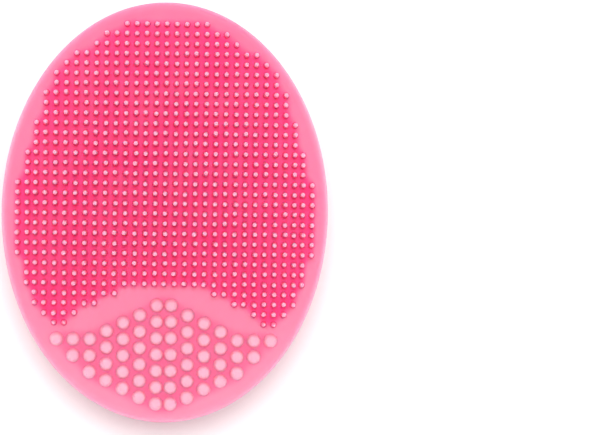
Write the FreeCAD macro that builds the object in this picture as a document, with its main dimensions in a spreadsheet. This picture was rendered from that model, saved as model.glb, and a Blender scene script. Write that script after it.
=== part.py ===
import FreeCAD, Part
import math
import os
import Sketcher

# A hand-held silicone brush for the face. An oval head carries fine bristles over most of its face and
# a fan of round massage nubs at one end. A waisted stem joins the head to a flared suction foot, and
# two fingers hold the brush by the gap between head and foot.
# Frame: the brush stands on its foot, bristles up. The origin is on the floor under the middle of the
# head, +X points along the head to the end with the nubs, and +Z is up. Millimetres.

os.makedirs("parts", exist_ok=True)
doc = FreeCAD.newDocument("facial_cleansing_brush")
Vector = FreeCAD.Vector
UP = Vector(0, 0, 1)

# Driving dimensions: alias, value, what it measures.
DIMENSIONS = [
    ("head_length", 76.0, "long axis of the oval head"),
    ("head_width", 59.0, "short axis of the oval head"),
    ("face_height", 23.15, "floor to the top of the face pad"),
    ("seam_height", 21.6, "floor to the seam between face pad and back plate"),
    ("plate_height", 20.54, "floor to the underside of the back plate"),
    ("bead_height", 0.46, "height of the moulded bead round the seam"),
    ("bead_proud", 0.15, "how far that bead stands out from the face pad"),
    ("face_shoulder", 0.85, "radius of the face pad's upper edge"),
    ("plate_inset", 0.2, "how far the back plate's edge lies inside the bead"),
    ("plate_edge", 0.45, "radius of the back plate's lower edge"),
    ("boss_depth", 2.05, "how far the boss bulges under the back plate"),
    ("boss_length", 41.0, "long axis of the boss"),
    ("boss_width", 32.0, "short axis of the boss"),
    ("stem_offset", -3.2, "stem axis from the middle of the head, along X"),
    ("stem_radius", 4.15, "radius of the waist of the stem"),
    ("neck_radius", 4.65, "radius of the stem where it enters the boss"),
    ("neck_bottom", 16.5, "floor to where the waist starts to widen upwards"),
    ("boss_bottom", 18.5, "floor to where the neck meets the boss"),
    ("flange_radius", 7.0, "radius of the anchor flange inside the head"),
    ("flange_bottom", 20.4, "floor to the underside of the anchor flange"),
    ("flare_radius", 8.0, "radius of the sweep from waist to foot"),
    ("foot_radius", 13.3, "outer radius of the suction foot"),
    ("rim_height", 2.8, "thickness of the foot at its rim"),
    ("toe_radius", 9.8, "outer radius of the stem's toe on the foot"),
    ("lip_radius", 10.4, "inner radius of the flat lip that touches the floor"),
    ("cup_depth", 2.0, "depth of the suction cup under the foot"),
    ("post_radius", 2.6, "radius of the foot's post inside the stem"),
    ("post_top", 7.5, "floor to the top of that post"),
    ("bristle_pitch", 1.8, "distance between bristles, both ways"),
    ("first_row", -34.0, "first row of bristles from the middle of the head"),
    ("bristle_root", 0.5, "radius of a bristle at its root"),
    ("bristle_tip", 0.42, "radius of a bristle below its bevelled tip"),
    ("spike_tip", 0.26, "the same in the last row, where the bristles are thinner"),
    ("tip_bevel", 0.6, "bevel of a bristle's tip as a share of that radius"),
    ("tuft_height", 27.8, "floor to the tips over the middle of the head"),
    ("tuft_crown", 250.0, "radius of the domed surface through the tips"),
    ("nub_pitch", 2.96, "distance between nubs along X"),
    ("nub_spacing", 3.0, "distance between columns of nubs along Y"),
    ("first_column", 1.3, "first column of nubs from the middle plane"),
    ("nub_root", 1.2, "radius of a nub at its root"),
    ("nub_crown", 1.1, "radius of a nub below its bevelled edge"),
    ("nub_height", 1.4, "height of a nub"),
    ("nub_bevel", 0.35, "bevel of a nub's upper edge"),
]

# Bristles in each row on one side of the middle one: the first and the last, from the wide end.
FULL_ROWS = [4, 6, 7, 9, 10, 11, 11, 12, 12, 12, 13, 13, 13, 14, 14, 14] + [15] * 8 + [14] * 3
ARCH_ROWS = [(5, 13), (7, 13), (9, 12), (10, 11)]
BRISTLE_ROWS = [(0, last) for last in FULL_ROWS] + ARCH_ROWS
# The outer columns sit a little closer in than the pitch gives, so that they clear the rounded edge.
PULLED_IN = {13: 0.1, 14: 0.4, 15: 0.5}
# Each column of nubs, from the middle plane out: how many, and where the first stands along X.
NUB_COLUMNS = [(7, 16.8), (6, 18.6), (5, 20.0), (4, 21.5), (3, 23.0), (2, 23.0), (1, 23.0)]


def make_sheet():
    """Put the driving dimensions in a spreadsheet, one alias to a row."""
    sheet = doc.addObject("Spreadsheet::Sheet", "sizes")
    for row, (alias, value, meaning) in enumerate(DIMENSIONS, start=1):
        sheet.set(f"A{row}", meaning)
        sheet.set(f"B{row}", str(value))
        sheet.setAlias(f"B{row}", alias)
    doc.recompute()
    return sheet


sizes = make_sheet()


def make_body(name, height=None, offset=None):
    """Start a body named after its sub-part, raised and shifted by rules on the sheet."""
    body = doc.addObject("PartDesign::Body", name)
    body.Label = name
    if height:
        body.setExpression("Placement.Base.z", height)
    if offset:
        body.setExpression("Placement.Base.x", offset)
    return body


def make_sketch(body, name, role, height=None):
    """Attach a sketch to one of the body's own origin planes."""
    sketch = body.newObject("Sketcher::SketchObject", name)
    plane = next(feature for feature in body.Origin.OriginFeatures if feature.Role == role)
    sketch.AttachmentSupport = [(plane, "")]
    sketch.MapMode = "FlatFace"
    if height:
        sketch.setExpression("AttachmentOffset.Base.z", height)
    return sketch


def bind(sketch, constraint, rule):
    """Add a constraint and drive its value by a rule on the sheet."""
    index = sketch.addConstraint(constraint)
    sketch.setExpression(f"Constraints[{index}]", rule)


def draw_oval(sketch, length_rule, width_rule):
    """Draw an ellipse about the sketch's origin, its long axis along X."""
    length = float(sketch.evalExpression(length_rule))
    width = float(sketch.evalExpression(width_rule))
    ends = Vector(length / 2, 0, 0), Vector(0, width / 2, 0), Vector(0, 0, 0)
    oval = sketch.addGeometry(Part.Ellipse(*ends))
    sketch.exposeInternalGeometry(oval)
    sketch.addConstraint(Sketcher.Constraint("Coincident", oval, 3, -1, 1))
    sketch.addConstraint(Sketcher.Constraint("Horizontal", oval + 1))
    bind(sketch, Sketcher.Constraint("Distance", oval + 1, length), length_rule)
    bind(sketch, Sketcher.Constraint("Distance", oval + 2, width), width_rule)


def draw_circle(sketch, radius_rule, x_rule):
    """Draw a circle centred on the sketch's X axis."""
    radius = float(sketch.evalExpression(radius_rule))
    x = float(sketch.evalExpression(x_rule))
    circle = sketch.addGeometry(Part.Circle(Vector(x, 0, 0), UP, radius))
    sketch.addConstraint(Sketcher.Constraint("PointOnObject", circle, 3, -1))
    bind(sketch, Sketcher.Constraint("DistanceX", -1, 1, circle, 3, x), x_rule)
    bind(sketch, Sketcher.Constraint("Radius", circle, radius), radius_rule)


def arc_between(start, end, radius):
    """Arc from start to end: a positive radius bulges to the right of the way from start to end."""
    chord = end - start
    right = Vector(chord.y, -chord.x, 0).normalize()
    half = chord.Length / 2
    sagitta = abs(radius) - math.sqrt(radius * radius - half * half)
    middle = start + chord / 2 + right * math.copysign(sagitta, radius)
    return Part.Arc(start, middle, end)


def end_at(sketch, edge, point):
    """Say which end of an edge lies at a point: 1 for its start and 2 for its end."""
    gaps = [(sketch.getPoint(edge, end) - point).Length for end in (1, 2)]
    return 1 + gaps.index(min(gaps))


def draw_outline(sketch, corners, arcs):
    """Draw a closed outline through corners given as rules for radius and height.

    arcs maps a corner's number to the rule for the radius of the arc that leaves it, and to the side
    that it bulges to: 1 for right and -1 for left. The other edges are straight.
    """
    points = []
    for x_rule, z_rule in corners:
        x, z = float(sketch.evalExpression(x_rule)), float(sketch.evalExpression(z_rule))
        points.append(Vector(x, z, 0))
    edges = []
    for number, start in enumerate(points):
        end = points[(number + 1) % len(points)]
        if number in arcs:
            rule, side = arcs[number]
            radius = float(sketch.evalExpression(rule))
            edges.append(sketch.addGeometry(arc_between(start, end, side * radius)))
        else:
            edges.append(sketch.addGeometry(Part.LineSegment(start, end)))
    for number, (x_rule, z_rule) in enumerate(corners):
        point, edge, before = points[number], edges[number], edges[number - 1]
        here, there = end_at(sketch, edge, point), end_at(sketch, before, point)
        sketch.addConstraint(Sketcher.Constraint("Coincident", before, there, edge, here))
        pin(sketch, edge, here, "DistanceX", x_rule, point.x, -2)
        pin(sketch, edge, here, "DistanceY", z_rule, point.y, -1)
    for number, (rule, side) in arcs.items():
        radius = float(sketch.evalExpression(rule))
        bind(sketch, Sketcher.Constraint("Radius", edges[number], radius), rule)


def pin(sketch, edge, end, kind, rule, value, axis):
    """Hold one coordinate of an edge's end by a rule, or on an axis where the rule is zero."""
    if rule == "0":
        sketch.addConstraint(Sketcher.Constraint("PointOnObject", edge, end, axis))
    else:
        bind(sketch, Sketcher.Constraint(kind, -1, 1, edge, end, value), rule)


def pad(body, name, sketch, rule):
    """Raise a sketch into a solid."""
    feature = body.newObject("PartDesign::Pad", name)
    feature.Profile = sketch
    feature.setExpression("Length", rule)
    sketch.Visibility = False
    doc.recompute()
    return feature


def pocket(body, name, sketch, rule=None):
    """Sink a sketch down into the solid, right through it when no depth is given."""
    feature = body.newObject("PartDesign::Pocket", name)
    feature.Profile = sketch
    before = body.Shape.Volume
    if rule:
        feature.setExpression("Length", rule)
    else:
        feature.Type = "ThroughAll"
    doc.recompute()
    if body.Shape.Volume >= before:
        raise RuntimeError(f"{name} cut nothing")
    return feature


def round_edges(body, name, base, height_rule, radius_rule):
    """Round the edges of a feature that lie at one height above the body's own plane."""
    height = float(base.evalExpression(height_rule))
    chosen = []
    for number, edge in enumerate(base.Shape.Edges, start=1):
        box = edge.BoundBox
        if abs(box.ZMin - height) < 1e-6 and abs(box.ZMax - height) < 1e-6:
            chosen.append(f"Edge{number}")
    feature = body.newObject("PartDesign::Fillet", name)
    feature.Base = (base, chosen)
    feature.setExpression("Radius", radius_rule)
    doc.recompute()
    return feature


def revolve(body, name, sketch):
    """Turn an outline round the body's own Z axis."""
    feature = body.newObject("PartDesign::Revolution", name)
    feature.Profile = sketch
    feature.ReferenceAxis = (sketch, ["V_Axis"])
    feature.Angle = 360
    doc.recompute()
    return feature


def build_face_pad():
    """Soft front of the head: a bead along the seam, then the pad itself with a rounded shoulder."""
    body = make_body("face_pad", "sizes.seam_height")
    bead_sketch = make_sketch(body, "bead_outline", "XY_Plane")
    draw_oval(bead_sketch, "sizes.head_length", "sizes.head_width")
    pad(body, "bead", bead_sketch, "sizes.bead_height")
    pad_sketch = make_sketch(body, "pad_outline", "XY_Plane", "sizes.bead_height")
    length = "sizes.head_length - 2 * sizes.bead_proud"
    width = "sizes.head_width - 2 * sizes.bead_proud"
    draw_oval(pad_sketch, length, width)
    thickness = "sizes.face_height - sizes.seam_height"
    raised = pad(body, "pad", pad_sketch, f"{thickness} - sizes.bead_height")
    round_edges(body, "shoulder", raised, thickness, "sizes.face_shoulder")
    return body


def build_back_plate():
    """Back of the head: an oval plate with a low domed boss, hollowed to take the stem's flange."""
    body = make_body("back_plate", "sizes.plate_height")
    sketch = make_sketch(body, "plate_outline", "XY_Plane")
    length = "sizes.head_length - 2 * sizes.plate_inset"
    width = "sizes.head_width - 2 * sizes.plate_inset"
    draw_oval(sketch, length, width)
    thickness = "sizes.seam_height - sizes.plate_height"
    plate = pad(body, "plate", sketch, thickness)
    round_edges(body, "lower_edge", plate, "0", "sizes.plate_edge")
    add_boss(body)
    hole_sketch = make_sketch(body, "neck_outline", "XY_Plane", thickness)
    draw_circle(hole_sketch, "sizes.neck_radius", "sizes.stem_offset")
    pocket(body, "neck_hole", hole_sketch)
    seat_sketch = make_sketch(body, "flange_outline", "XY_Plane", thickness)
    draw_circle(seat_sketch, "sizes.flange_radius", "sizes.stem_offset")
    pocket(body, "flange_seat", seat_sketch, "sizes.seam_height - sizes.flange_bottom")
    return body


def add_boss(body):
    """Bulge the lower half of an ellipsoid out of the middle of the plate's underside."""
    boss = body.newObject("PartDesign::AdditiveEllipsoid", "boss")
    boss.setExpression("Radius1", "sizes.boss_depth")
    boss.setExpression("Radius2", "sizes.boss_length / 2")
    boss.setExpression("Radius3", "sizes.boss_width / 2")
    boss.Angle1 = -90
    boss.Angle2 = 0
    doc.recompute()


# The seat between stem and foot lies where the sweep has come down to the radius of the stem's toe.
SWEEP_CENTRE = "(sizes.stem_radius + sizes.flare_radius)"
SWEEP_REACH = f"({SWEEP_CENTRE} - sizes.toe_radius)"
SWEEP_DROP = f"sqrt(sizes.flare_radius^2 - {SWEEP_REACH}^2)"
SWEEP_TOP = "(sizes.rim_height + sizes.flare_radius)"
SEAT_HEIGHT = f"{SWEEP_TOP} - {SWEEP_DROP}"


def build_grip_stem():
    """Waisted stem: a flange held inside the head, and a sweep down to a broad toe on the foot."""
    body = make_body("grip_stem", offset="sizes.stem_offset")
    sketch = make_sketch(body, "stem_outline", "XZ_Plane")
    corners = [
        ("0", "sizes.post_top"),
        ("sizes.post_radius", "sizes.post_top"),
        ("sizes.post_radius", SEAT_HEIGHT),
        ("sizes.toe_radius", SEAT_HEIGHT),
        ("sizes.stem_radius", SWEEP_TOP),
        ("sizes.stem_radius", "sizes.neck_bottom"),
        ("sizes.neck_radius", "sizes.boss_bottom"),
        ("sizes.neck_radius", "sizes.flange_bottom"),
        ("sizes.flange_radius", "sizes.flange_bottom"),
        ("sizes.flange_radius", "sizes.seam_height"),
        ("0", "sizes.seam_height"),
    ]
    rise = "(sizes.boss_bottom - sizes.neck_bottom)"
    spread = "(sizes.neck_radius - sizes.stem_radius)"
    neck_curve = f"({rise}^2 + {spread}^2) / (2 * {spread})"
    draw_outline(sketch, corners, {3: ("sizes.flare_radius", -1), 5: (neck_curve, -1)})
    revolve(body, "stem", sketch)
    return body


def build_suction_foot():
    """Round foot: a shallow cup with a flat lip, a rounded rim and a post that locks into the stem."""
    body = make_body("suction_foot", offset="sizes.stem_offset")
    sketch = make_sketch(body, "foot_outline", "XZ_Plane")
    corners = [
        ("0", "sizes.cup_depth"),
        ("sizes.lip_radius", "0"),
        (SWEEP_CENTRE, "0"),
        (SWEEP_CENTRE, "sizes.rim_height"),
        ("sizes.toe_radius", SEAT_HEIGHT),
        ("sizes.post_radius", SEAT_HEIGHT),
        ("sizes.post_radius", "sizes.post_top"),
        ("0", "sizes.post_top"),
    ]
    cup_curve = "(sizes.lip_radius^2 + sizes.cup_depth^2) / (2 * sizes.cup_depth)"
    nose = f"(sizes.foot_radius - {SWEEP_CENTRE})"
    nose_curve = f"((sizes.rim_height / 2)^2 + {nose}^2) / (2 * {nose})"
    arcs = {0: (cup_curve, -1), 2: (nose_curve, 1), 3: ("sizes.flare_radius", -1)}
    draw_outline(sketch, corners, arcs)
    revolve(body, "foot", sketch)
    return body


def make_stud(root, crown, height, bevel):
    """One round stud standing at the origin, tapered from root to crown, with a bevelled tip."""
    outline = [
        Vector(0, 0, 0),
        Vector(root, 0, 0),
        Vector(crown, 0, height - bevel),
        Vector(crown - bevel, 0, height),
        Vector(0, 0, height),
    ]
    wire = Part.makePolygon(outline + outline[:1])
    return Part.Face(wire).revolve(Vector(0, 0, 0), UP, 360)


def tip_height(x, y):
    """Height of the domed tuft surface above the face, at a place on the head."""
    fall = sizes.tuft_crown - math.sqrt(sizes.tuft_crown**2 - x * x - y * y)
    return sizes.tuft_height - sizes.face_height - fall


def build_fine_bristles():
    """The field of fine bristles, one solid each, in rows that follow the oval and the arch."""
    bristles = []
    last_row = len(BRISTLE_ROWS) - 1
    for row, (first, last) in enumerate(BRISTLE_ROWS):
        x = sizes.first_row + row * sizes.bristle_pitch
        tip_radius = sizes.spike_tip if row == last_row else sizes.bristle_tip
        for column in range(-last, last + 1):
            if abs(column) < first:
                continue
            y = column * sizes.bristle_pitch - math.copysign(PULLED_IN.get(abs(column), 0), column)
            bevel = tip_radius * sizes.tip_bevel
            bristle = make_stud(sizes.bristle_root, tip_radius, tip_height(x, y), bevel)
            bristle.translate(Vector(x, y, 0))
            bristles.append(bristle)
    return group_on_face("fine_bristles", bristles)


def build_massage_nubs():
    """The fan of round nubs, one solid each, in columns that shorten towards the sides."""
    nub = make_stud(sizes.nub_root, sizes.nub_crown, sizes.nub_height, sizes.nub_bevel)
    nubs = []
    for column, (count, first_x) in enumerate(NUB_COLUMNS):
        y = sizes.first_column + column * sizes.nub_spacing
        for side in (-1, 1):
            for place in range(count):
                nubs.append(nub.translated(Vector(first_x + place * sizes.nub_pitch, side * y, 0)))
    return group_on_face("massage_nubs", nubs)


def group_on_face(name, solids):
    """Hold a group of separate solids as one object standing on the face."""
    group = doc.addObject("Part::Feature", name)
    group.Label = name
    group.Shape = Part.makeCompound(solids)
    group.Placement = FreeCAD.Placement(Vector(0, 0, sizes.face_height), FreeCAD.Rotation())
    return group


def check_and_write(parts):
    """Stop on any failed object or bad shape, then write each sub-part under its own name."""
    doc.recompute()
    for item in doc.Objects:
        if "Invalid" in item.State or "Error" in item.State:
            raise RuntimeError(f"{item.Label} failed: {item.State}")
    for part in parts:
        if part.Shape.isNull() or not part.Shape.isValid():
            raise RuntimeError(f"{part.Label} has no valid shape")
        part.Shape.exportStep(f"parts/{part.Label}.step")
        box = part.Shape.BoundBox
        print(
            f"{part.Label}: {len(part.Shape.Solids)} solids, {part.Shape.Volume:.1f} mm3,"
            f" x {box.XMin:.2f} to {box.XMax:.2f}, z {box.ZMin:.2f} to {box.ZMax:.2f}"
        )


check_and_write(
    [
        build_face_pad(),
        build_fine_bristles(),
        build_massage_nubs(),
        build_back_plate(),
        build_grip_stem(),
        build_suction_foot(),
    ]
)
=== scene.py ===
import math

import bpy
import numpy as np
from mathutils import Matrix, Vector


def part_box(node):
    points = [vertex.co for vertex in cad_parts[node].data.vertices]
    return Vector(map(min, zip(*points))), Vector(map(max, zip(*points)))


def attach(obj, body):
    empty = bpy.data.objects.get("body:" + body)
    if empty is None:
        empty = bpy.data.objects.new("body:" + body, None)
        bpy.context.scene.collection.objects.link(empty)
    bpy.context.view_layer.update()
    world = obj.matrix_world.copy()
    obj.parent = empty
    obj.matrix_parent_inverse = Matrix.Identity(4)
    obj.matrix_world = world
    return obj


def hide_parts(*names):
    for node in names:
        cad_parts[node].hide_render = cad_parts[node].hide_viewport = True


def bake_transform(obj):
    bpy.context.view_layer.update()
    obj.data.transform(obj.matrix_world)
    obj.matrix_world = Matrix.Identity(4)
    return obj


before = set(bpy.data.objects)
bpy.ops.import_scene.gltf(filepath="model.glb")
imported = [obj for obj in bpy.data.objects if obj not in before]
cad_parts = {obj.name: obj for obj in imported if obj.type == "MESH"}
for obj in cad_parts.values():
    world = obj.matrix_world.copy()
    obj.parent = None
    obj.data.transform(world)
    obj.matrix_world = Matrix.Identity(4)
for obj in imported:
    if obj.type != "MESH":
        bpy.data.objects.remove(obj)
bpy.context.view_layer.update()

MM = 0.001  # every size below is in metres, written as so many millimetres

# Sizes and places, from the frame.
pad_low, pad_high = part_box("face_pad")
stem_low, stem_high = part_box("grip_stem")
foot_low, foot_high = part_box("suction_foot")

HALF_LENGTH = pad_high.x
HALF_WIDTH = pad_high.y
SEAM = pad_low.z
FACE = pad_high.z
TUFT_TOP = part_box("fine_bristles")[1].z
NUB_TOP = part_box("massage_nubs")[1].z
STEM_X = (stem_low.x + stem_high.x) / 2
FOOT_RADIUS = (foot_high.x - foot_low.x) / 2
TOE_RADIUS = (stem_high.x - stem_low.x) / 2
TOE_HEIGHT = stem_low.z

# The stem and its joints with the head and the foot.
WAIST = 4.15 * MM
NECK_RADIUS = 4.65 * MM
FLANGE_RADIUS = 7.0 * MM
FLANGE_BOTTOM = SEAM - 1.2 * MM
SWEEP = 8.0 * MM  # radius of the curve from waist to foot
RIM_HEIGHT = 2.8 * MM
SWEEP_CENTRE = (WAIST + SWEEP, RIM_HEIGHT + SWEEP)
TOE_ANGLE = 180 + math.degrees(math.acos((SWEEP_CENTRE[0] - TOE_RADIUS) / SWEEP))
POST_RADIUS = 2.6 * MM
POST_TOP = foot_high.z
CORE = 0.4 * MM  # radius of the last ring before a flat end is fanned shut

# The moulded pattern on the face, in rows from the wide end to the nubs.
BRISTLE_PITCH = 1.8 * MM
FIRST_ROW = -34.0 * MM
FULL_ROWS = [4, 6, 7, 9, 10, 11, 11, 12, 12, 12, 13, 13, 13, 14, 14, 14] + [15] * 8 + [14] * 3
ARCH_ROWS = [(5, 13), (7, 13), (9, 12), (10, 11)]
BRISTLE_ROWS = [(0, last) for last in FULL_ROWS] + ARCH_ROWS
PULLED_IN = {13: 0.1 * MM, 14: 0.4 * MM, 15: 0.5 * MM}
TUFT_CROWN = 250 * MM  # radius of the dome through the bristle tips
NUB_PITCH = 2.96 * MM
NUB_SPACING = 3.0 * MM
FIRST_COLUMN = 1.3 * MM
# Each column of nubs, from the middle plane out: how many, and where the first stands, in mm.
NUB_COLUMNS = [(7, 16.8), (6, 18.6), (5, 20.0), (4, 21.5), (3, 23.0), (2, 23.0), (1, 23.0)]
ROOT_DEPTH = 0.7 * MM  # bristles and nubs reach this far into the pad


def bristle_places():
    """Where every fine bristle stands, and whether it is in the thin last row."""
    places = []
    for row, (first, last) in enumerate(BRISTLE_ROWS):
        for column in range(-last, last + 1):
            if abs(column) < first:
                continue
            y = column * BRISTLE_PITCH - math.copysign(PULLED_IN.get(abs(column), 0), column)
            places.append((FIRST_ROW + row * BRISTLE_PITCH, y, row == len(BRISTLE_ROWS) - 1))
    return places


def nub_places():
    """Where every massage nub stands."""
    places = []
    for column, (count, first_x) in enumerate(NUB_COLUMNS):
        for side in (-1, 1):
            for place in range(count):
                y = side * (FIRST_COLUMN + column * NUB_SPACING)
                places.append((first_x * MM + place * NUB_PITCH, y))
    return places


# ---------------------------------------------------------------- meshes


def make_piece(name, points, faces, body):
    """Put a mesh in the scene, smooth except along its sharp edges, and let it ride on a body."""
    mesh = bpy.data.meshes.new(name)
    mesh.from_pydata(points, [], faces)
    mesh.validate()
    mesh.shade_smooth()
    mesh.set_sharp_from_angle(angle=math.radians(50))
    piece = bpy.data.objects.new(name, mesh)
    bpy.context.scene.collection.objects.link(piece)
    if body:
        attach(piece, body)
    return piece


def arc(centre, radius, start, end, steps):
    """So many points along an arc in an outline, between two angles in degrees."""
    angles = np.radians(np.linspace(start, end, steps))
    return [(centre[0] + radius * math.cos(a), centre[1] + radius * math.sin(a)) for a in angles]


def skin(rings, joined=False):
    """Points and faces of a closed skin over rings of points that all have the same count.

    The two ends are fanned shut at their middles, or joined to each other when joined is set.
    """
    rings = np.asarray(rings, float)
    count, sides = rings.shape[:2]
    points = rings.reshape(-1, 3)
    faces = []
    for ring in range(count if joined else count - 1):
        here, there = ring * sides, (ring + 1) % count * sides
        for k in range(sides):
            n = (k + 1) % sides
            faces.append((here + k, here + n, there + n, there + k))
    if not joined:
        ends = np.array([rings[0].mean(axis=0), rings[-1].mean(axis=0)])
        points = np.vstack([points, ends])
        first, last, top = count * sides, count * sides + 1, (count - 1) * sides
        for k in range(sides):
            n = (k + 1) % sides
            faces.append((first, n, k))
            faces.append((last, top + k, top + n))
    return points, faces


def oval_ring(semi_x, semi_y, height, sides=288, centre_x=0.0):
    """One level ring, as so many points round an ellipse."""
    angles = np.linspace(0, 2 * math.pi, sides, endpoint=False)
    return np.stack(
        [
            centre_x + semi_x * np.cos(angles),
            semi_y * np.sin(angles),
            np.full(sides, height),
        ],
        axis=1,
    )


def lathe(outline, sides, centre_x=0.0):
    """Skin of an outline of (radius, height) points turned about an upright axis."""
    rings = [oval_ring(radius, radius, height, sides, centre_x) for radius, height in outline]
    return skin(rings)


def refine(outline, step):
    """Add points along the straight runs of an outline so that no run is longer than step."""
    fine = [outline[0]]
    for start, end in zip(outline, outline[1:]):
        runs = max(1, math.ceil(math.dist(start, end) / step))
        for k in range(1, runs + 1):
            fine.append(tuple(a + (b - a) * k / runs for a, b in zip(start, end)))
    return fine


def crowding(points, studs, reach, share, few, many):
    """How closely studs crowd each point, from 0 in the open to 1 in the thick of them.

    reach is how far one stud counts, and share is the area of face that one stud has to itself.
    few and many are the densities that count as open and as thick.
    """
    total = np.zeros(len(points))
    for x, y, *_ in studs:
        gap = (points[:, 0] - x) ** 2 + (points[:, 1] - y) ** 2
        total += np.exp(-gap / (2 * reach * reach))
    dense = total * share / (2 * math.pi * reach * reach)
    t = np.clip((dense - few) / (many - few), 0, 1)
    return t * t * (3 - 2 * t)


def set_tone(piece, name, values):
    """Store one number per point for the material to read."""
    attribute = piece.data.attributes.new(name, "FLOAT", "POINT")
    attribute.data.foreach_set("value", np.asarray(values, np.float32))


def face_pad():
    """Soft front of the head: a bead on the seam, a fine groove, a rounded shoulder and a flat face."""
    bead, shoulder = 0.23 * MM, 0.85 * MM
    side = 0.15 * MM  # the pad's side lies this far inside the bead
    outline = arc((bead, SEAM + bead), bead, 270, 120, 9)
    for groove, height in ((0.16, 0.50), (0.03, 0.56), (0.0, 0.62)):
        outline.append((side + groove * MM, SEAM + height * MM))
    outline += arc((side + shoulder, FACE - shoulder), shoulder, 180, 90, 9)
    rings = [oval_ring(HALF_LENGTH * s, HALF_WIDTH * s, SEAM) for s in (0.2, 0.5, 0.8, 0.96)]
    rings += [oval_ring(HALF_LENGTH - inset, HALF_WIDTH - inset, z) for inset, z in outline]
    flat_x, flat_y = HALF_LENGTH - side - shoulder, HALF_WIDTH - side - shoulder
    face_rings = 75
    for s in np.linspace(1, 0.02, face_rings + 1)[1:]:
        rings.append(oval_ring(flat_x * s, flat_y * s, FACE))
    points, faces = skin(rings)
    piece = make_piece("face_pad_moulded", points.tolist(), faces, "head")
    on_face = points[:, 2] > FACE - 0.01 * MM
    # Painted shade: a deeper pink is laid where bristles and nubs crowd the face, standing in for the
    # shade and bounced light between them.
    fine = crowding(points, bristle_places(), 1.2 * MM, BRISTLE_PITCH**2, 0.40, 0.92)
    coarse = crowding(points, nub_places(), 1.4 * MM, NUB_PITCH * NUB_SPACING, 0.25, 0.8)
    set_tone(piece, "shade_between_bristles", fine * on_face)
    set_tone(piece, "shade_between_nubs", coarse * on_face)
    # Painted highlight: the outer margin of the face is made paler, standing in for light caught on the
    # rounded shoulder.
    reach = np.hypot(points[:, 0] / HALF_LENGTH, points[:, 1] / HALF_WIDTH)
    highlight_from, highlight_over = 0.955, 0.04  # as shares of the way from the middle to the edge
    set_tone(piece, "edge_highlight", np.clip((reach - highlight_from) / highlight_over, 0, 1) ** 1.5)
    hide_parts("face_pad")
    return piece


def stud_field(name, studs, sides, body, spread=0.0):
    """One mesh of many studs on the face, each given as x, y, height and outline.

    spread is how far a stud may lean at random, as a share of its height.
    """
    random = np.random.default_rng(seed=7)
    points, faces, tones = [], [], []
    first = 0
    for x, y, height, outline in studs:
        own_points, own_faces = lathe(outline, sides)
        lean = random.normal(0, spread, 2)
        rise = own_points[:, 2].clip(0)
        own_points[:, :2] += lean * (rise**2 / height)[:, None]
        tones.append(rise / height)
        points.append(own_points + np.array([x, y, FACE]))
        faces += [tuple(index + first for index in face) for face in own_faces]
        first += len(own_points)
    piece = make_piece(name, np.vstack(points).tolist(), faces, body)
    set_tone(piece, "rise", np.concatenate(tones))
    return piece


def bristle_outline(height, tip):
    """A fine bristle: a small fillet at its root, a slight taper and a round tip of that radius."""
    root = 0.47 * MM
    shoulder = height - tip
    outline = [(root + 0.16 * MM, -ROOT_DEPTH), (root + 0.14 * MM, -0.01 * MM)]
    outline += [(root + 0.09 * MM, 0.03 * MM), (root + 0.03 * MM, 0.14 * MM)]
    fillet_top = 0.3 * MM
    for share in (0.1, 0.3, 0.55, 0.8):
        outline.append((root + (tip - root) * share, fillet_top + (shoulder - fillet_top) * share))
    outline += arc((0, shoulder), tip, 0, 75, 5)
    return outline


def fine_bristles():
    """The field of fine bristles, their tips on one shallow dome."""
    short = 0.02 * MM  # keeps a leaning tip inside the height of the tuft
    studs = []
    for x, y, thin in bristle_places():
        fall = TUFT_CROWN - math.sqrt(TUFT_CROWN**2 - x * x - y * y)
        height = TUFT_TOP - FACE - fall - short
        tip = (0.24 if thin else 0.39) * MM
        studs.append((x, y, height, bristle_outline(height, tip)))
    piece = stud_field("fine_bristles_moulded", studs, 12, "head", spread=0.02)
    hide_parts("fine_bristles")
    return piece


def nub_outline(height):
    """A massage nub: a low bell with a wide fillet at its foot and a domed top."""
    reach = 1.33 * MM
    outline = [(reach, -ROOT_DEPTH), (reach, -0.01 * MM)]
    for share in (0.98, 0.95, 0.92, 0.89, 0.86, 0.83, 0.80, 0.76, 0.71, 0.65, 0.57, 0.45, 0.25):
        outline.append((reach * share, height * (1 - share**6) ** 2.0))
    return outline


def massage_nubs():
    """The fan of round massage nubs."""
    height = NUB_TOP - FACE
    studs = [(x, y, height, nub_outline(height)) for x, y in nub_places()]
    piece = stud_field("massage_nubs_moulded", studs, 32, "head")
    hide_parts("massage_nubs")
    return piece


def boss_fall(x, y):
    """How far the boss bulges below the plate's underside: a low crown with a soft S-shaped edge."""
    reach = np.hypot(x, y * HALF_LENGTH / HALF_WIDTH)
    depth, crown_radius = 2.04 * MM, 192.3 * MM
    edge_from, edge_over = 14 * MM, 6.5 * MM
    crown = depth - reach * reach / (2 * crown_radius)
    t = np.clip((reach - edge_from) / edge_over, 0, 1)
    return crown * (1 - t * t * (3 - 2 * t))


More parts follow.
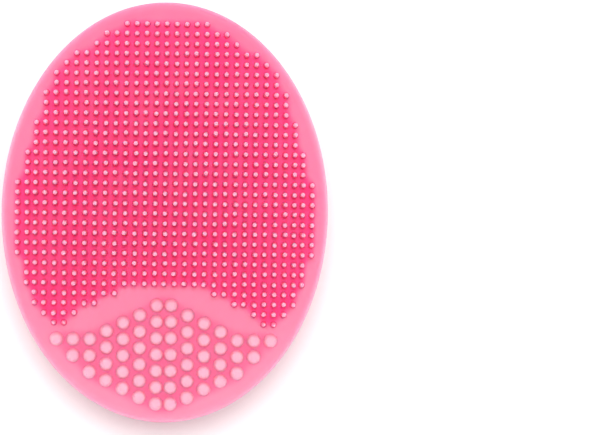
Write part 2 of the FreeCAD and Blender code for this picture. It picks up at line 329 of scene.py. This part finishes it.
def back_plate():
    """Back of the head: an oval plate with a rounded lower edge, a low boss and a seat for the stem."""
    inset, edge, thickness = 0.2 * MM, 0.45 * MM, 1.06 * MM
    bottom = SEAM - thickness
    outline = [(0.8 * MM, SEAM), (inset + 0.08 * MM, SEAM), (inset, SEAM - 0.06 * MM)]
    outline += arc((inset + edge, bottom + edge), edge, 180, 270, 7)
    rings = [oval_ring(HALF_LENGTH - d, HALF_WIDTH - d, z) for d, z in outline]
    outer_x, outer_y = HALF_LENGTH - inset - edge, HALF_WIDTH - inset - edge
    underside_rings = 59
    for t in np.linspace(0, 1, underside_rings + 1)[1:]:
        ring = oval_ring(
            outer_x + (NECK_RADIUS - outer_x) * t,
            outer_y + (NECK_RADIUS - outer_y) * t,
            bottom,
            centre_x=STEM_X * t,
        )
        ring[:, 2] -= boss_fall(ring[:, 0], ring[:, 1])
        rings.append(ring)
    seat = [(NECK_RADIUS, FLANGE_BOTTOM), (FLANGE_RADIUS, FLANGE_BOTTOM), (FLANGE_RADIUS, SEAM)]
    for radius, height in seat:
        rings.append(oval_ring(radius, radius, height, centre_x=STEM_X))
    points, faces = skin(rings, joined=True)
    piece = make_piece("back_plate_moulded", points.tolist(), faces, "head")
    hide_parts("back_plate")
    return piece


def grip_stem():
    """Waisted stem with its hidden flange."""
    neck_bottom, neck_curve, boss_bottom = 16.5 * MM, 4.25 * MM, 18.5 * MM
    outline = [(CORE, POST_TOP), (POST_RADIUS, POST_TOP), (POST_RADIUS, TOE_HEIGHT)]
    outline += [(TOE_RADIUS - 0.3 * MM, TOE_HEIGHT)]
    outline += arc(SWEEP_CENTRE, SWEEP, TOE_ANGLE, 180, 28)
    outline += arc((WAIST + neck_curve, neck_bottom), neck_curve, 180, 152, 7)
    outline += [(NECK_RADIUS, FLANGE_BOTTOM), (FLANGE_RADIUS, FLANGE_BOTTOM)]
    outline += [(FLANGE_RADIUS, SEAM), (CORE, SEAM)]
    points, faces = lathe(refine(outline, 0.6 * MM), 96, STEM_X)
    piece = make_piece("grip_stem_moulded", points.tolist(), faces, None)
    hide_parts("grip_stem")
    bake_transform(piece)
    return piece


def suction_foot():
    """Round foot with a shallow cup, a flat lip, a rounded rim and the post that holds the stem."""
    cup, lip = 2.0 * MM, 10.4 * MM
    cup_curve = (lip * lip + cup * cup) / (2 * cup)
    lip_angle = 90 - math.degrees(math.asin(lip / cup_curve))
    nose = FOOT_RADIUS - SWEEP_CENTRE[0]
    nose_curve = ((RIM_HEIGHT / 2) ** 2 + nose**2) / (2 * nose)
    turn = math.degrees(math.asin(RIM_HEIGHT / 2 / nose_curve))
    outline = arc((0, cup - cup_curve), cup_curve, 89, lip_angle, 16)
    outline += [(SWEEP_CENTRE[0], 0)]
    parting = RIM_HEIGHT / 2
    outline += arc((FOOT_RADIUS - nose_curve, parting), nose_curve, -turn, turn, 31)
    outline += arc(SWEEP_CENTRE, SWEEP, 270, TOE_ANGLE, 6)[1:]
    outline += [(POST_RADIUS, TOE_HEIGHT), (POST_RADIUS, POST_TOP), (CORE, POST_TOP)]
    points, faces = lathe(outline, 128, STEM_X)
    piece = make_piece("suction_foot_moulded", points.tolist(), faces, "foot")
    # Painted highlight: a pale band that ramps down the rim's upper side to its widest line and fades fast
    # below it.
    outside = np.hypot(points[:, 0] - STEM_X, points[:, 1]) > TOE_RADIUS
    above = np.clip((TOE_HEIGHT - points[:, 2]) / (TOE_HEIGHT - parting), 0, 1) ** 2
    fade = 0.45 * MM
    below = np.clip((points[:, 2] - parting) / fade + 1, 0, 1)
    set_tone(piece, "rim_highlight", np.minimum(above, below) * outside)
    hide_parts("suction_foot")
    return piece


# ---------------------------------------------------------------- materials


def linear(hex_colour):
    """Turn an sRGB hex colour into the linear colour that a shader takes."""
    parts = [int(hex_colour[k : k + 2], 16) / 255 for k in (1, 3, 5)]
    return [c / 12.92 if c <= 0.04045 else ((c + 0.055) / 1.055) ** 2.4 for c in parts] + [1.0]


def add(tree, kind, settings=None, **inputs):
    """Add a node with its settings. An input takes a value, or an output of another node to link.

    An input is given by its name with _ for a space, or as _ and its number where names repeat.
    """
    node = tree.nodes.new(kind)
    for key, value in (settings or {}).items():
        setattr(node, key, value)
    for key, value in inputs.items():
        socket = node.inputs[int(key[1:])] if key[1:].isdigit() else node.inputs[key.replace("_", " ")]
        if isinstance(value, bpy.types.NodeSocket):
            tree.links.new(value, socket)
        else:
            socket.default_value = value
    return node


def pigment(tree, hex_base, *layers):
    """A base colour with others laid over it in turn, each given as a mask and a hex colour."""
    colour = linear(hex_base)
    for mask, hex_over in layers:
        mix = add(tree, "ShaderNodeMix", {"data_type": "RGBA"}, _0=mask, _6=colour, _7=linear(hex_over))
        colour = mix.outputs[2]
    return colour


SPARK_GRAIN = 0.5 * MM  # coarser than the real 0.05 mm, so that it shows
CLOUD = 6 * MM  # size of the soft clouds in the pigment


def moulded_silicone(name, colour_of, roughness, gloss, depth):
    """Liquid silicone rubber from a spark-eroded mould: even satin skin, soft light under the surface.

    colour_of lays the pigment, gloss is how much the skin reflects, and depth is how far light
    spreads inside.
    """
    material = bpy.data.materials.new(name)
    material.use_nodes = True
    tree = material.node_tree
    tree.nodes.clear()
    place = add(tree, "ShaderNodeTexCoord").outputs["Object"]
    cloud = add(tree, "ShaderNodeTexNoise", Vector=place, Scale=1 / CLOUD, Detail=2.0).outputs["Fac"]
    colour = colour_of(tree, cloud)
    grain = add(tree, "ShaderNodeTexNoise", Vector=place, Scale=1 / SPARK_GRAIN, Detail=3.0, Roughness=0.6)
    bump = add(tree, "ShaderNodeBump", Height=grain.outputs["Fac"], Strength=0.12, Distance=0.02 * MM)
    low, high = roughness - 0.04, roughness + 0.05
    uneven = add(
        tree, "ShaderNodeMapRange", Value=cloud, From_Min=0.3, From_Max=0.7, To_Min=low, To_Max=high
    )
    shader = add(
        tree,
        "ShaderNodeBsdfPrincipled",
        {"subsurface_method": "RANDOM_WALK"},
        Base_Color=colour,
        Roughness=uneven.outputs[0],
        IOR=1.41,
        Specular_IOR_Level=gloss,
        Normal=bump.outputs[0],
        Subsurface_Weight=0.8,
        Subsurface_Radius=(1.0, 0.25, 0.35),
        Subsurface_Scale=depth,
    )
    add(tree, "ShaderNodeOutputMaterial", Surface=shader.outputs[0])
    return material


# Each colour starts from two close shades of one pigment in soft clouds, as hand-weighed batches give.


def face_colour(tree, cloud):
    """Light pink, paler at the nub end; a painted highlight along the rounded outer edge, and painted
    shade, a deeper pink, between bristles and between nubs.
    """
    place = add(tree, "ShaderNodeTexCoord").outputs["Object"]
    length = add(tree, "ShaderNodeSeparateXYZ", Vector=place).outputs["X"]
    nub_end = add(
        tree, "ShaderNodeMapRange", Value=length, From_Min=-2 * MM, From_Max=32 * MM, To_Max=0.8
    )
    # Painted highlight along the rounded outer edge.
    edge_highlight = add(tree, "ShaderNodeAttribute", {"attribute_name": "edge_highlight"})
    wide_end = add(
        tree, "ShaderNodeMapRange", Value=length, From_Min=-16 * MM, From_Max=-34 * MM, To_Max=0.5
    )
    # Painted shade between the nubs and between the bristles.
    shade_between_nubs = add(tree, "ShaderNodeAttribute", {"attribute_name": "shade_between_nubs"})
    shade_between_bristles = add(tree, "ShaderNodeAttribute", {"attribute_name": "shade_between_bristles"})
    return pigment(
        tree,
        "#F07AA3",
        (cloud, "#F284A9"),
        (nub_end.outputs[0], "#F694B2"),
        (edge_highlight.outputs["Fac"], "#F4A6C2"),
        (wide_end.outputs[0], "#EE6C9A"),
        (shade_between_nubs.outputs["Fac"], "#FA6C9A"),
        (shade_between_bristles.outputs["Fac"], "#FF3388"),
    )


def bristle_colour(tree, cloud):
    """Deep pink at the root and pale at the tip: painted shade down between the bristles, painted light
    where the tips catch it.
    """
    rise = add(tree, "ShaderNodeAttribute", {"attribute_name": "rise"}).outputs["Fac"]
    # Painted shade and light: deep at the root where shade falls between bristles, pale at the lit tip.
    thin = add(tree, "ShaderNodeMapRange", Value=rise, From_Min=0.05, From_Max=0.55).outputs[0]
    return pigment(tree, "#FF4488", (cloud, "#FF4E8E"), (thin, "#FFAEC8"))


def nub_colour(tree, cloud):
    """Pale crown over a deeper foot: painted light on the top and painted shade toward the base."""
    rise = add(tree, "ShaderNodeAttribute", {"attribute_name": "rise"}).outputs["Fac"]
    # Painted light on the crown, painted shade toward the foot.
    foot = add(tree, "ShaderNodeMapRange", Value=rise, From_Max=0.6, To_Min=1.0, To_Max=0.0).outputs[0]
    return pigment(tree, "#FAAEC3", (cloud, "#FCB6CA"), (foot, "#FC86AA"))


def back_colour(tree, cloud):
    """A deeper pink than the face: painted shade on the back, which faces down."""
    return pigment(tree, "#FF6E9E", (cloud, "#FF78A6"))


def stem_colour(tree, cloud):
    """Red core, turning pink in the last thin millimetres of the toe."""
    place = add(tree, "ShaderNodeTexCoord").outputs["Object"]
    height = add(tree, "ShaderNodeSeparateXYZ", Vector=place).outputs["Z"]
    toe = add(
        tree,
        "ShaderNodeMapRange",
        Value=height,
        From_Min=TOE_HEIGHT,
        From_Max=TOE_HEIGHT + 1.2 * MM,
        To_Min=1.0,
        To_Max=0.0,
    )
    return pigment(tree, "#FF0014", (cloud, "#FF0822"), (toe.outputs[0], "#FF5A8C"))


def foot_colour(tree, cloud):
    """Deeper than the face, with a painted highlight round the rim, brightest along its widest line."""
    # Painted highlight round the rim.
    parting = add(tree, "ShaderNodeAttribute", {"attribute_name": "rim_highlight"}).outputs["Fac"]
    return pigment(tree, "#FF5288", (cloud, "#FF5C90"), (parting, "#FFA8C8"))


def paint(piece, material):
    """Give a piece its one material."""
    piece.data.materials.clear()
    piece.data.materials.append(material)


# ---------------------------------------------------------------- set


PAPER_FIBRES = 900.0  # in a metre of paper


def white_floor():
    """A matt white sweep, much larger than the brush."""
    half = 4.0  # metres
    corners = [(-half, -half, 0), (half, -half, 0), (half, half, 0), (-half, half, 0)]
    mesh = bpy.data.meshes.new("floor")
    mesh.from_pydata(corners, [], [(0, 1, 2, 3)])
    floor = bpy.data.objects.new("floor", mesh)
    bpy.context.scene.collection.objects.link(floor)
    material = bpy.data.materials.new("matt white paper")
    material.use_nodes = True
    tree = material.node_tree
    tree.nodes.clear()
    place = add(tree, "ShaderNodeTexCoord").outputs["Object"]
    fibre = add(tree, "ShaderNodeTexNoise", Vector=place, Scale=PAPER_FIBRES, Detail=2.0).outputs["Fac"]
    white = pigment(tree, "#F8F8F8", (fibre, "#FCFCFC"))
    shader = add(tree, "ShaderNodeBsdfPrincipled", Base_Color=white, Roughness=0.9, Specular_IOR_Level=0.1)
    add(tree, "ShaderNodeOutputMaterial", Surface=shader.outputs[0])
    paint(floor, material)


def far_light(name, source, spread, power):
    """A large soft lamp so far off that its light falls evenly. spread is its width in degrees."""
    light = bpy.data.lights.new(name, "SUN")
    light.angle = math.radians(spread)
    light.energy = power
    lamp = bpy.data.objects.new(name, light)
    lamp.location = source
    lamp.rotation_mode = "QUATERNION"
    lamp.rotation_quaternion = source.to_track_quat("Z", "Y")
    bpy.context.scene.collection.objects.link(lamp)


def studio():
    """White room, bright low down and dimmer overhead, and one lamp high over the wide end."""
    world = bpy.data.worlds.new("studio")
    world.use_nodes = True
    tree = world.node_tree
    tree.nodes.clear()
    place = add(tree, "ShaderNodeTexCoord").outputs["Generated"]
    height = add(tree, "ShaderNodeSeparateXYZ", Vector=place).outputs[2]
    wall, ceiling = 2.0, 0.32
    glow = add(
        tree, "ShaderNodeMapRange", Value=height, From_Min=0.15, From_Max=0.5, To_Min=wall, To_Max=ceiling
    )
    room = add(tree, "ShaderNodeBackground", Color=linear("#FFFFFF"), Strength=glow.outputs[0])
    add(tree, "ShaderNodeOutputWorld", Surface=room.outputs[0])
    bpy.context.scene.world = world
    far_light("key", Vector((-0.17, 0.0, 1.0)), spread=20, power=0.70 * math.pi)
    bpy.context.scene.view_settings.view_transform = "Standard"


def camera():
    """A long lens straight above the face, panned to one side, with the nubs at the bottom."""
    data = bpy.data.cameras.new("camera")
    data.lens = 200
    data.sensor_width = 36
    view_width = 108.44 * MM  # at the height of the face
    distance = data.lens / data.sensor_width * view_width
    view = bpy.data.objects.new("camera", data)
    eye = Vector((0, 0, FACE + distance))
    aim = Vector((0.6 * MM, 24.4 * MM, FACE))
    back = (eye - aim).normalized()
    roll = math.radians(-0.7)
    right = Vector((math.sin(roll), math.cos(roll), 0))
    up = back.cross(right).normalized()
    right = up.cross(back)
    view.matrix_world = Matrix((right, up, back)).transposed().to_4x4()
    view.location = eye
    bpy.context.scene.collection.objects.link(view)
    bpy.context.scene.camera = view


paint(
    face_pad(),
    moulded_silicone("moulded silicone, face", face_colour, roughness=0.45, gloss=0.3, depth=1.2 * MM),
)
paint(
    fine_bristles(),
    moulded_silicone(
        "moulded silicone, bristles", bristle_colour, roughness=0.45, gloss=0.3, depth=0.3 * MM
    ),
)
paint(
    massage_nubs(),
    moulded_silicone("moulded silicone, nubs", nub_colour, roughness=0.45, gloss=0.3, depth=0.3 * MM),
)
paint(
    back_plate(),
    moulded_silicone("moulded silicone, back", back_colour, roughness=0.5, gloss=0.4, depth=1.2 * MM),
)
paint(
    grip_stem(),
    moulded_silicone("moulded silicone, stem", stem_colour, roughness=0.5, gloss=0.06, depth=0.35 * MM),
)
paint(
    suction_foot(),
    moulded_silicone("moulded silicone, foot", foot_colour, roughness=0.36, gloss=0.6, depth=1.2 * MM),
)
white_floor()
studio()
camera()
